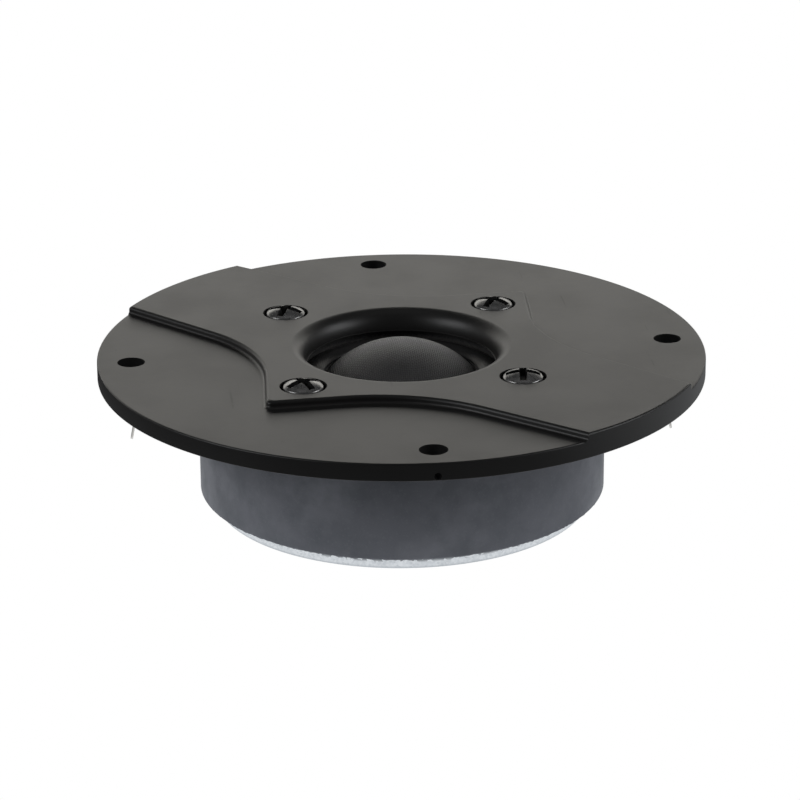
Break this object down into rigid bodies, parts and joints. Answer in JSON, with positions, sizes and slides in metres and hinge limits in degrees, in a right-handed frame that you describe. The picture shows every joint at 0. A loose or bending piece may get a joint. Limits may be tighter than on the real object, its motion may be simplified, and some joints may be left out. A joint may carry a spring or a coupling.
{
  "type": "dome tweeter",
  "caption": "Round flush-mount soft-dome tweeter: screwed face plate with shallow waveguide and stepped band, ferrite motor, side terminals, moving voice coil.",
  "frame": {"origin": "on the axis at the back face of the flange, the face that meets the baffle", "axes": "+Z along the axis towards the listener; the four mounting holes lie on the X and Y axes; the terminals lie near the X axis, the positive one at +X"},
  "size_m": [0.104, 0.104, 0.0288],
  "materials": {
    "face_plate_plastic": "satin black moulded plastic, very fine grain",
    "screw_black_nickel": "polished black nickel plating",
    "gasket_foam": "closed-cell foam",
    "clamp_card": "black pressed card",
    "carrier_plastic": "glass-filled moulded plastic",
    "tinned_brass": "tinned brass strip",
    "solder": "bright solder",
    "braided_copper": "braided copper lead",
    "coated_cloth": "impregnated cloth, tacky coating",
    "dome_cloth": "doped fine square weave",
    "amber_glue": "cured clear amber adhesive",
    "former_foil": "thin rolled foil",
    "coil_wire": "enamelled wire, close wound",
    "grey_felt": "needled wool felt",
    "cap_copper": "drawn copper, lightly tarnished",
    "turned_steel": "turned mild steel, light zinc plating",
    "zinc_plated_steel": "bright zinc plating",
    "magnet_glue": "cured structural adhesive",
    "ferrite": "ground sintered ferrite, dusty grey"
  },
  "bodies": {
    "chassis": {"face_plate": "face_plate_plastic", "plate_screws": "screw_black_nickel", "front_gasket": "gasket_foam", "clamp_ring": "clamp_card", "diaphragm_carrier": "carrier_plastic", "terminal_positive": "tinned_brass", "terminal_negative": "tinned_brass", "solder_joints": "solder", "lead_out_positive": "braided_copper", "lead_out_negative": "braided_copper", "surround": "coated_cloth", "dome_damping_pad": "grey_felt", "pole_felt": "grey_felt", "copper_cap": "cap_copper", "pole_piece": "turned_steel", "top_plate": "zinc_plated_steel", "locating_pins": "turned_steel", "front_glue_ring": "magnet_glue", "magnet_ring": "ferrite", "rear_glue_ring": "magnet_glue", "back_plate": "zinc_plated_steel"},
    "diaphragm": {"dome": "dome_cloth", "former_glue_bead": "amber_glue", "coil_former": "former_foil", "voice_coil": "coil_wire"}
  },
  "joints": [
    {"name": "coil_travel", "type": "slide", "parent": "chassis", "child": "diaphragm", "axis": [0, 0, 1], "range_m": [-0.0005, 0.0005], "stiffness_N_per_m": 900, "deforming": ["surround", "lead_out_positive", "lead_out_negative"]}
  ]
}
